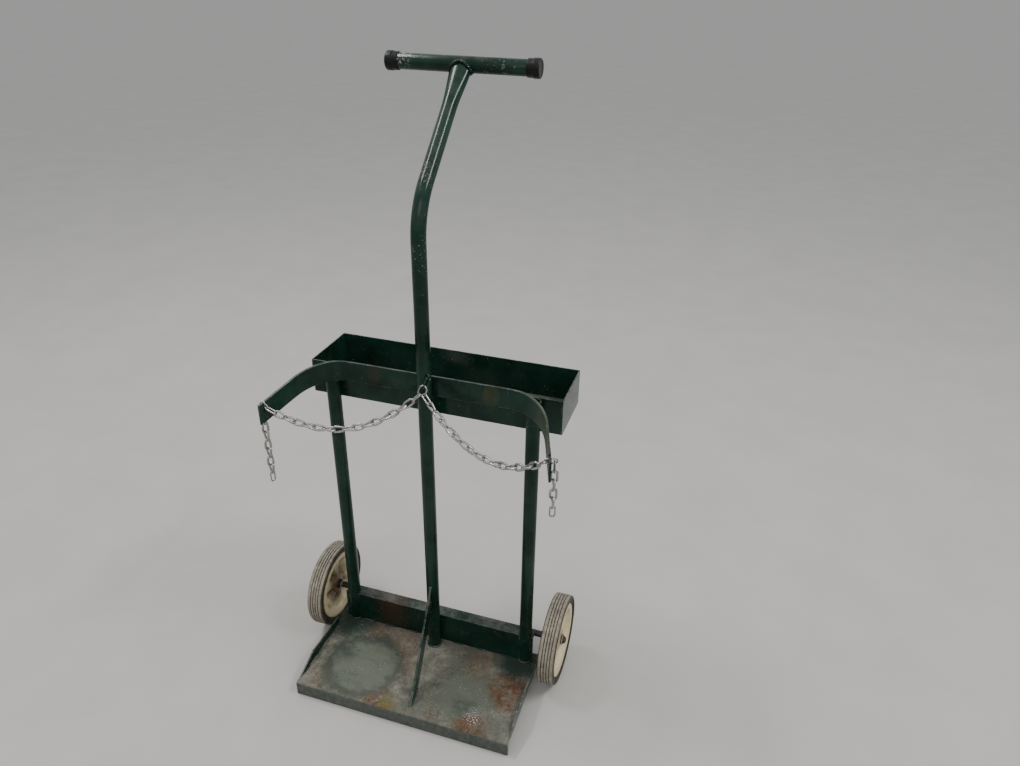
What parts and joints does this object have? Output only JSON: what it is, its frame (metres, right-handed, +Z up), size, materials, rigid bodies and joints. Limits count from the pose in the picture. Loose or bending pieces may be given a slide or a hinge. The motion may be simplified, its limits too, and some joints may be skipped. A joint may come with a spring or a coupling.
{
  "type": "two-cylinder welding cart",
  "caption": "Upright hand cart for two gas cylinders: folded base plate, tube frame with a bent T handle, curved flat-bar strap with retaining chains, open tray and a pair of ribbed wheels.",
  "frame": {"origin": "on the floor, under the middle of the cart's bounding box", "axes": "+X along the axle to the right, -Y towards the loading side where the cylinders stand, +Y towards the handle, +Z up"},
  "size_m": [0.5406, 0.4009, 1.1559],
  "materials": {
    "green_paint": "dark green gloss enamel, chipped and dusty",
    "worn_plate": "faded green enamel, rusted and dusty",
    "wheel_cream": "cream enamel, stained",
    "tyre": "ribbed rubber, dusty",
    "zinc": "bright zinc plate",
    "bare_steel": "dull steel",
    "cap_rubber": "matte black rubber"
  },
  "bodies": {
    "frame": {"base_plate": "worn_plate", "left_side_gusset": "green_paint", "right_side_gusset": "green_paint", "centre_brace": "green_paint", "rear_angle": "green_paint", "left_upright": "green_paint", "right_upright": "green_paint", "mast": "green_paint", "handle_bar": "green_paint", "left_handle_cap": "cap_rubber", "right_handle_cap": "cap_rubber", "cylinder_strap": "green_paint", "tray_pan": "green_paint", "left_tray_end": "green_paint", "right_tray_end": "green_paint", "axle": "bare_steel", "left_inner_washer": "zinc", "right_inner_washer": "zinc", "left_outer_washer": "zinc", "right_outer_washer": "zinc", "left_axle_cap": "bare_steel", "right_axle_cap": "bare_steel", "chain_staple": "green_paint", "anchor_link": "green_paint", "junction_link": "zinc", "left_hook_link": "zinc", "right_hook_link": "zinc"},
    "left_wheel": {"left_tyre": "tyre", "left_outer_disc": "wheel_cream", "left_inner_disc": "wheel_cream", "left_hub_sleeve": "bare_steel"},
    "right_wheel": {"right_tyre": "tyre", "right_outer_disc": "wheel_cream", "right_inner_disc": "wheel_cream", "right_hub_sleeve": "bare_steel"},
    "left_chain_span": {"left_chain": "zinc"},
    "right_chain_span": {"right_chain": "zinc"},
    "left_chain_tail": {"left_tail": "zinc"},
    "right_chain_tail": {"right_tail": "zinc"}
  },
  "joints": [
    {"name": "left_wheel_spin", "type": "hinge", "parent": "frame", "child": "left_wheel", "pos_m": [-0.25, 0.02161, 0.0889], "axis": [1, 0, 0], "continuous": true},
    {"name": "right_wheel_spin", "type": "hinge", "parent": "frame", "child": "right_wheel", "pos_m": [0.25, 0.02161, 0.0889], "axis": [1, 0, 0], "continuous": true},
    {"name": "left_chain_swing", "type": "hinge", "parent": "frame", "child": "left_chain_span", "pos_m": [-0.00088, -0.03444, 0.63658], "axis": [-0.9356, -0.3393, -0.0974], "range_deg": [-25, 14]},
    {"name": "right_chain_swing", "type": "hinge", "parent": "frame", "child": "right_chain_span", "pos_m": [0.00584, -0.03444, 0.63658], "axis": [0.9332, -0.3453, -0.0991], "range_deg": [-14, 25]},
    {"name": "left_tail_swing", "type": "hinge", "parent": "frame", "child": "left_chain_tail", "pos_m": [-0.26078, -0.11808, 0.60736], "axis": [-0.9397, 0.342, 0], "range_deg": [-50, 50]},
    {"name": "right_tail_swing", "type": "hinge", "parent": "frame", "child": "right_chain_tail", "pos_m": [0.26078, -0.11808, 0.60736], "axis": [0.9397, 0.342, 0], "range_deg": [-50, 50]}
  ]
}
